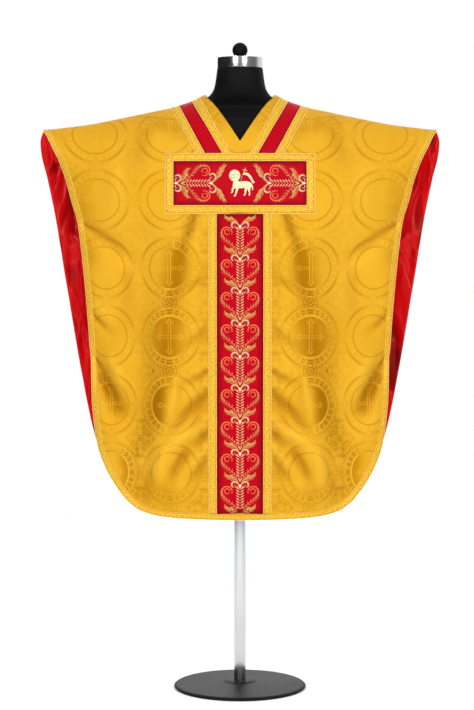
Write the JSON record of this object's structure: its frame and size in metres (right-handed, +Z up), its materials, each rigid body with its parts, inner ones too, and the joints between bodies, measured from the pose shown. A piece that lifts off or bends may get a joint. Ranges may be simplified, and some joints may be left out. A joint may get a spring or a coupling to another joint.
{
  "type": "borromean chasuble on a dress form",
  "caption": "Wide sleeveless vestment in brocade with a V neck, crossbar and column orphrey, draped over a limbless dress form on a pole stand.",
  "frame": {"origin": "centre of the stand's base, on the floor", "axes": "+Z up, -Y towards the viewer, out of the front of the garment, +X towards the viewer's right"},
  "size_m": [1.0694, 0.36, 1.7455],
  "materials": {
    "brocade": "gold satin damask with a tone on tone pattern",
    "lining": "red satin",
    "orphrey": "red satin ribbon, embroidered on the column and crossbar",
    "galloon": "woven gold braid",
    "form_shell": "black, satin",
    "bright_metal": "polished",
    "base_paint": "black, satin"
  },
  "bodies": {
    "root": {"front_panel": "brocade", "back_panel": "brocade", "back_lining": "lining", "column_band": "orphrey", "column_galloon_right": "galloon", "column_galloon_left": "galloon", "crossbar_band": "orphrey", "crossbar_galloon": "galloon", "shoulder_band": "orphrey", "shoulder_galloon_inner": "galloon", "shoulder_galloon_outer": "galloon", "edge_galloon_front": "galloon", "edge_galloon_back": "galloon", "form_body": "form_shell", "form_neck_band": "bright_metal", "form_knob": "form_shell", "form_pole": "bright_metal", "form_base": "base_paint"}
  },
  "joints": []
}
